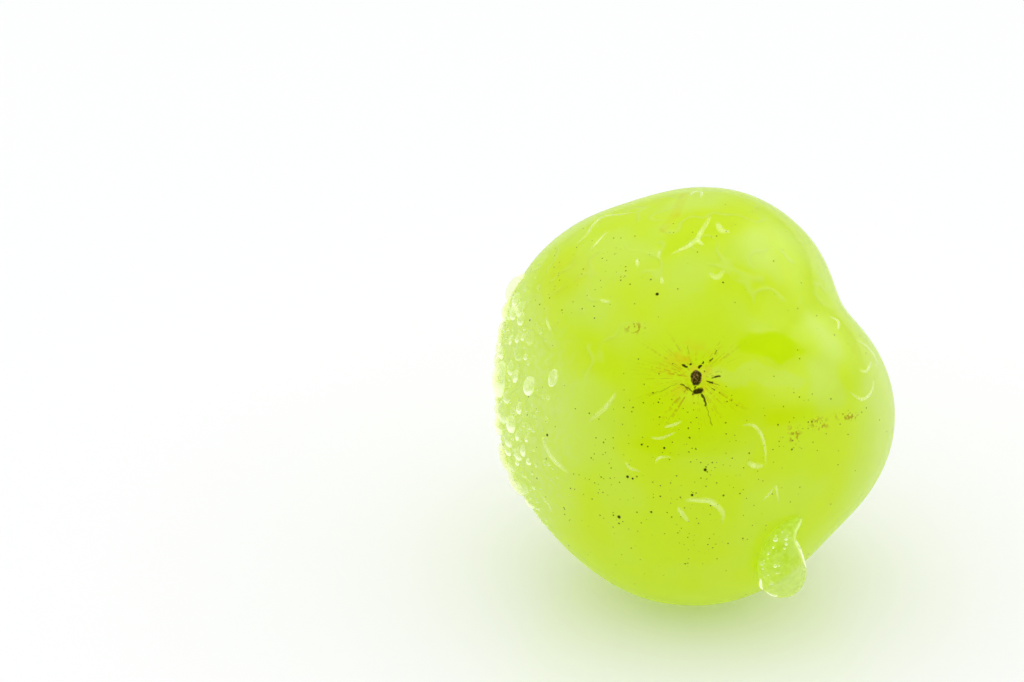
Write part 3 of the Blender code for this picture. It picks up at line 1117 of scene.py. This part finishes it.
def skin_material(settings):
    """Wet yellow-green skin over flesh that light runs through, with its scar, lines and russet."""
    material, surface = new_surface("grape_skin")
    skin = Skin(surface, settings.skin_colour)
    hollow_shade = paint_patches(skin, settings)
    # Folds of the water film, painted pale as highlights and raised in the bump.
    film = paint_film_sheen(skin)
    russet, large_dots = paint_russet(skin, settings)
    scar = paint_scar(skin, settings)
    specks = most_of(large_dots, *[speck_mask(surface, skin.flat_place, speck) for speck in SPECKS])
    skin.paint(specks, SPECK_COLOUR)
    dry = scar.most(paint_stem_end(skin))
    shade = most_of(dry, russet, specks)
    height = skin.noise(4.0) * 3.0 + skin.noise(1.3) * 0.6 + film * 1.2
    ripple = surface.add("Bump", {"Strength": 0.6, "Distance": 0.1 * MM, "Height": height})
    outer_side = fruit_side(surface, settings, (1 - shade * 0.96) * settings.glow, {
        "Base Color": skin.colour,
        "Roughness": 0.16 + skin.noise(1.5, 0.0) * 0.08 + dry * 0.5,
        "IOR": SKIN_IOR,
        # No coat on the dry marks, and less in the hollow painted as shade.
        "Coat Weight": 1 - shade.most(hollow_shade * 0.9),
        "Normal": ripple,
    })
    # The side that only light within the flesh meets needs no detail.
    inner_side = fruit_side(surface, settings, settings.glow, {
        "Base Color": (*FLESH_COLOUR, 1.0),
        "Roughness": 0.2,
        "IOR": FLESH_IOR,
        "Coat Weight": 1.0,
    })
    inside = surface.add("NewGeometry", {}).out("Backfacing")
    show(surface, surface.blend(inside, outer_side, inner_side))
    return material


def water_ripple(surface, place):
    """The faint unevenness of a water surface."""
    return surface.add("Bump", {
        "Strength": 0.1, "Distance": 0.02 * MM, "Height": surface.noise(place, 0.8 * MM),
    })


def drop_material(settings):
    """Water painted with the green light of the skin seen through it, paler where bubbles cloud it."""
    material, surface = new_surface("clear_water")
    place = surface.object_place()
    _, _, high = surface.split(place)
    cloud = surface.noise(place, 0.9 * MM, detail=2.0).step(0.35, 0.65) * (high / MM).step(3.5, 7.0)
    body = surface.add("BsdfPrincipled", {
        "Base Color": surface.mix(cloud * 0.8, DROP_SEEN_SKIN_COLOUR, DROP_CLOUD_COLOUR),
        "Roughness": 0.06 + surface.noise(place, 1.0 * MM) * 0.03,
        "IOR": WATER_IOR,
        "Coat Weight": 1.0,
        "Coat Roughness": 0.02,
        "Coat IOR": 1.5,
        "Normal": water_ripple(surface, place),
    })
    through = surface.add("BsdfTranslucent", {"Color": (*DROP_GLOW_COLOUR, 1.0)})
    clear = surface.add("BsdfTransparent", {"Color": (*settings.colour, 1.0)})
    shadow = surface.add("LightPath", {}).out("Is Shadow Ray")
    share = shadow.most(DROP_CLEARNESS - cloud * 0.15)
    show(surface, surface.blend(share, surface.blend(DROP_GLOW, body, through), clear))
    return material


def thin_water_material(water):
    """A thin layer of water: its gloss, and white with a glow painted over a share of it, more at its lower rim
    as a painted highlight.
    """
    material, surface = new_surface(water.name)
    place = surface.object_place()
    ripple = water_ripple(surface, place)
    gloss = surface.add("BsdfGlossy", {"Color": WHITE, "Roughness": 0.03, "Normal": ripple})
    clear = surface.add("BsdfTransparent", {"Color": (*water.tint, 1.0)})
    # Painted light: a white surface with a glow, laid over a share of the water.
    white = surface.add("BsdfPrincipled", {
        "Base Color": (*water.colour, 1.0),
        "Roughness": 0.5,
        "Emission Color": (*PAINTED_GLOW_COLOUR, 1.0),
        "Emission Strength": PAINTED_GLOW,
    })
    geometry = surface.add("NewGeometry", {})
    outside = 1 - geometry.out("Backfacing")
    _, _, rise = surface.split(geometry.out("Normal"))
    patch = surface.noise(place, 0.45 * MM, detail=1.0).step(0.35, 0.7)
    whiteness = surface.add("Attribute", {}, attribute_name=WHITENESS).out("Fac")
    # More painted white where the normal points down: a painted highlight at the lower rim.
    share = ((0.5 + patch * 0.5) * water.milk + rise.step(0.25, -0.45) * water.rim_milk) * whiteness
    facing = surface.add("Fresnel", {"IOR": WATER_IOR, "Normal": ripple})
    pale = surface.blend(share.least(1.0) * outside, clear, white)
    show(surface, surface.blend(facing * outside, pale, gloss))
    return material


class GRAPE_OT_shape_skin(bpy.types.Operator):
    """Shape the grape's skin, with its scar, stem end and flat resting spot"""

    bl_idname = "grape.shape_skin"
    bl_label = "Skin"

    def execute(self, context):
        settings = context.scene.grape_berry
        finish_piece("grape_skin", fine_skin(), skin_material(settings), "berry")
        return {"FINISHED"}


class GRAPE_OT_hang_drop(bpy.types.Operator):
    """Hang the one large drop in the lower right groove"""

    bl_idname = "grape.hang_drop"
    bl_label = "Hanging drop"

    def execute(self, context):
        water = drop_material(context.scene.grape_water)
        finish_piece("clear_drop", hanging_drop(), water, "hanging_drop")
        finish_piece("drop_foam", foam_on_drop(), thin_water_material(FOAM_WATER))
        return {"FINISHED"}


class GRAPE_OT_bead_flank(bpy.types.Operator):
    """Stand water beads on the left flank"""

    bl_idname = "grape.bead_flank"
    bl_label = "Flank beads"

    def execute(self, context):
        settings = context.scene.grape_water
        water = thin_water_material(BEAD_WATER)
        taken = []
        mesh = water_mesh()
        for bead in SHOWN_BEADS:
            place = radians(bead)
            half_width, half_length, height = (size * MM for size in bead[2:5])
            lay_lens(mesh, *place, half_width, half_length, height, bead.whiteness, SHOWN_BEAD_FINENESS)
            taken.append((skin_place(*place), max(half_width, half_length)))
        scattered = scatter_beads(settings.bead_count, settings.bead_least, settings.bead_most, taken)
        for index, (place, radius) in enumerate(scattered):
            whiteness = BEAD_WHITENESSES[index % len(BEAD_WHITENESSES)]
            half_length = radius * BEAD_LENGTH_SHARE
            lay_lens(mesh, *place, radius, half_length, radius * BEAD_HEIGHT_SHARE, whiteness, BEAD_FINENESS)
            taken.append((skin_place(*place), radius))
        finish_piece("flank_beads", mesh, water, "water_beads")
        mesh = water_mesh()
        for place, radius in scatter_spray(settings.spray_count, taken):
            half_length = radius * SPRAY_LENGTH_SHARE
            height = radius * SPRAY_HEIGHT_SHARE
            lay_lens(mesh, *place, radius, half_length, height, SPRAY_WHITENESS, SPRAY_FINENESS)
        finish_piece("fine_spray", mesh, water)
        return {"FINISHED"}


class GRAPE_OT_lay_runs(bpy.types.Operator):
    """Lay thin rims and runs of water over the skin"""

    bl_idname = "grape.lay_runs"
    bl_label = "Runs of water"

    def execute(self, context):
        mesh = water_mesh()
        for run in RUNS:
            run_water(mesh, run)
        finish_piece("water_runs", mesh, thin_water_material(RUN_WATER))
        return {"FINISHED"}


def floor_material(settings):
    """Pale matt paper with a faint mottle."""
    material, surface = new_surface("pale_floor")
    place = surface.object_place()
    mottle = surface.noise(place, 30 * MM)
    paper = surface.add("BsdfPrincipled", {
        "Base Color": surface.mix(mottle * 0.04, settings.floor_colour, FLOOR_MOTTLE_COLOUR),
        "Roughness": 0.22 + mottle * 0.05,
        "IOR": 1.45,
        "Emission Color": WHITE,
        "Emission Strength": FLOOR_GLOW,
    })
    show(surface, paper)
    return material


def set_surround(settings):
    """A white surround, dim behind the camera; the camera itself sees plain white."""
    world = bpy.data.worlds.new("studio")
    bpy.context.scene.world = world
    world.use_nodes = True
    surface = Surface(world.node_tree)
    way = surface.add("TexCoord", {}).out("Generated")
    x, y, z = surface.split(way)
    in_front = y.step(-0.2, -0.8) * z.step(0.85, 0.4)
    lamp = SKY_LOW + (SKY_HIGH - SKY_LOW) * z.step(0.0, 0.9)
    lamp = lamp * (1 - in_front * SKY_FRONT_DIM) * settings.surround
    azimuth = x.math("ARCTAN2", y) * math.degrees(1)
    elevation = z.math("ARCSINE") * math.degrees(1)
    mirrored = GLOSS_BASE * (1 - in_front * GLOSS_FRONT_DIM)
    for window in WINDOWS:
        across = (azimuth - window.azimuth) / window.half_across
        above = (elevation - window.elevation) / window.half_up
        off = (across ** 4 + above ** 4) ** 0.25
        mirrored = mirrored + off.step(1 + window.softness, 1 - window.softness) * window.brightness
    path = surface.add("LightPath", {})
    gloss = path.out("Is Glossy Ray")
    seen = path.out("Is Camera Ray").most(path.out("Is Transmission Ray"))
    strength = (lamp * (1 - gloss) + mirrored * gloss) * (1 - seen) + seen * SKY_SEEN
    glow = surface.add("Background", {"Color": WHITE, "Strength": strength})
    surface.add("OutputWorld", {"Surface": glow})


def set_camera(settings):
    """The camera at the photograph's viewing angle."""
    camera = bpy.data.cameras.new("camera")
    camera.lens = settings.lens
    camera.sensor_width = CAMERA_SENSOR
    camera.clip_start = CAMERA_NEAREST
    holder = bpy.data.objects.new("camera", camera)
    holder.location = CAMERA_PLACE
    holder.rotation_euler = (CAMERA_PITCH, 0.0, 0.0)
    bpy.context.scene.collection.objects.link(holder)
    bpy.context.scene.camera = holder


class GRAPE_OT_set_stage(bpy.types.Operator):
    """Set the pale floor, the soft light and the camera"""

    bl_idname = "grape.set_stage"
    bl_label = "Stage"

    def execute(self, context):
        settings = context.scene.grape_stage
        mesh = bmesh.new()
        bmesh.ops.create_grid(mesh, x_segments=1, y_segments=1, size=FLOOR_HALF_SIZE,
                              matrix=Matrix.Translation((0, 0, -FLOOR_DROP)))
        data = bpy.data.meshes.new("floor")
        mesh.to_mesh(data)
        mesh.free()
        data.materials.append(floor_material(settings))
        floor = bpy.data.objects.new("floor", data)
        context.scene.collection.objects.link(floor)
        set_surround(settings)
        set_camera(settings)
        context.scene.view_settings.view_transform = "Standard"
        return {"FINISHED"}


class GRAPE_PT_panel(bpy.types.Panel):
    """Sizes, colours and pieces of the grape"""

    bl_idname = "GRAPE_PT_panel"
    bl_label = "Wet Green Grape"
    bl_space_type = "VIEW_3D"
    bl_region_type = "UI"
    bl_category = "Grape"

    def draw(self, context):
        layout = self.layout
        for heading, group in (("Berry", "grape_berry"), ("Water", "grape_water"), ("Stage", "grape_stage")):
            settings = getattr(context.scene, group)
            box = layout.box()
            box.label(text=heading)
            for name in settings.__annotations__:
                box.prop(settings, name)
        for operator in OPERATORS:
            layout.operator(operator.bl_idname)


OPERATORS = (
    GRAPE_OT_set_stage,
    GRAPE_OT_shape_skin,
    GRAPE_OT_hang_drop,
    GRAPE_OT_bead_flank,
    GRAPE_OT_lay_runs,
)
SETTINGS = {"grape_berry": BerrySettings, "grape_water": WaterSettings, "grape_stage": StageSettings}
CLASSES = (*SETTINGS.values(), *OPERATORS, GRAPE_PT_panel)


def register():
    """Registers the add-on's classes and settings."""
    for item in CLASSES:
        bpy.utils.register_class(item)
    for name, group in SETTINGS.items():
        setattr(bpy.types.Scene, name, PointerProperty(type=group))


def unregister():
    """Removes the add-on's settings and classes."""
    for name in SETTINGS:
        delattr(bpy.types.Scene, name)
    for item in reversed(CLASSES):
        bpy.utils.unregister_class(item)


def main():
    """Builds every piece in order."""
    register()
    bpy.ops.grape.set_stage()
    bpy.ops.grape.shape_skin()
    bpy.ops.grape.hang_drop()
    bpy.ops.grape.bead_flank()
    bpy.ops.grape.lay_runs()


if __name__ == "__main__":
    main()
